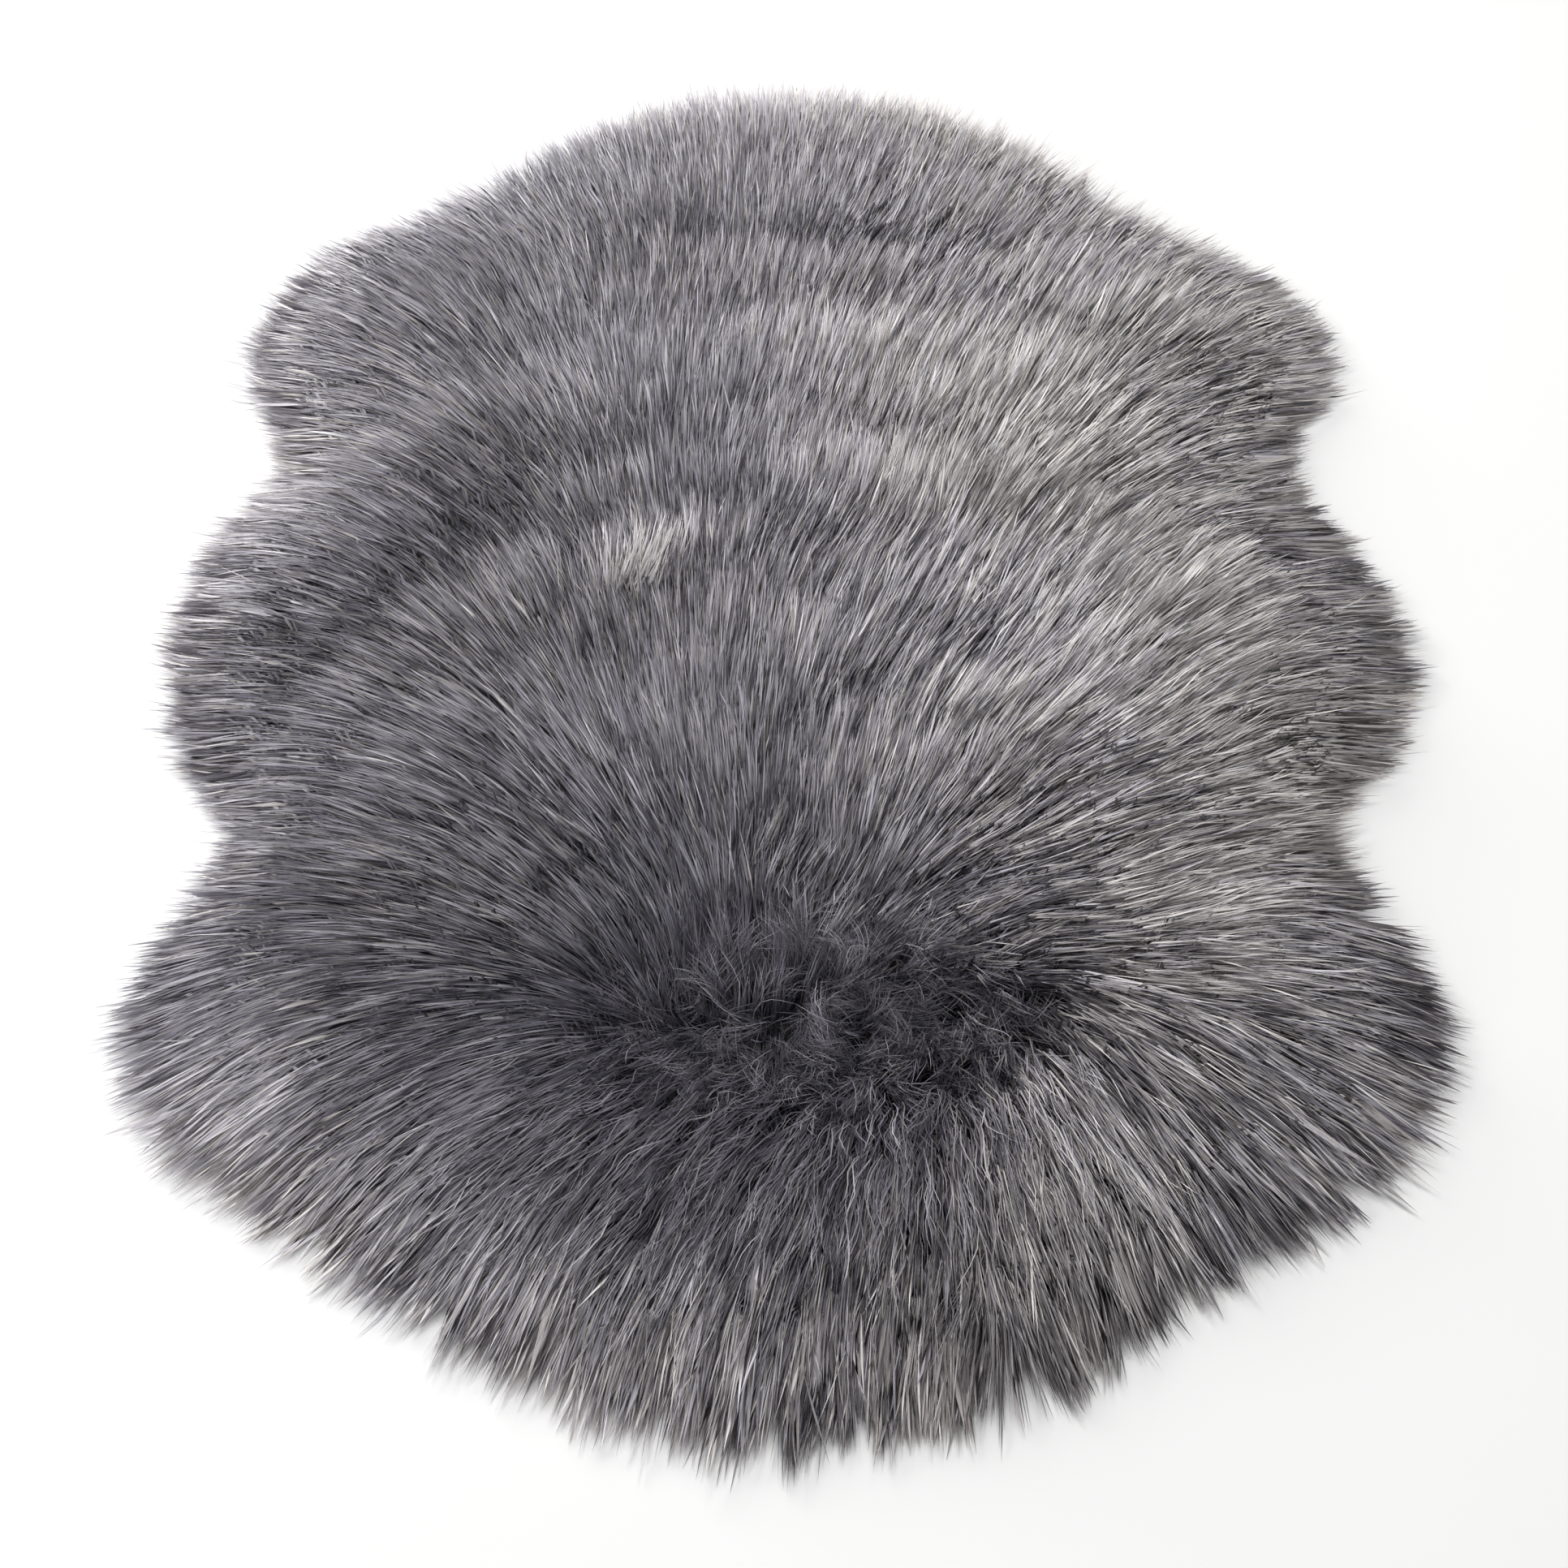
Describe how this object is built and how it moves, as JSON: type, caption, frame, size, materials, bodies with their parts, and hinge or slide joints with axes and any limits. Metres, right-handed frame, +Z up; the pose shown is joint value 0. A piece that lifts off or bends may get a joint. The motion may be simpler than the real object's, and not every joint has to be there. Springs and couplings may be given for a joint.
{
  "type": "shag rug",
  "caption": "Flat long-pile shag rug with a lobed sheepskin outline and combed grey pile, laid on a floor as a soft mat beside a bed or chair.",
  "frame": {"origin": "middle of the flat underside, on the floor", "axes": "+Z up out of the pile, +Y along the rug's length from the tail end to the head end, +X to the right"},
  "size_m": [0.599, 0.889, 0.047],
  "materials": {
    "pile": "matte"
  },
  "bodies": {
    "root": {"pile_fabric": "pile"}
  },
  "joints": []
}
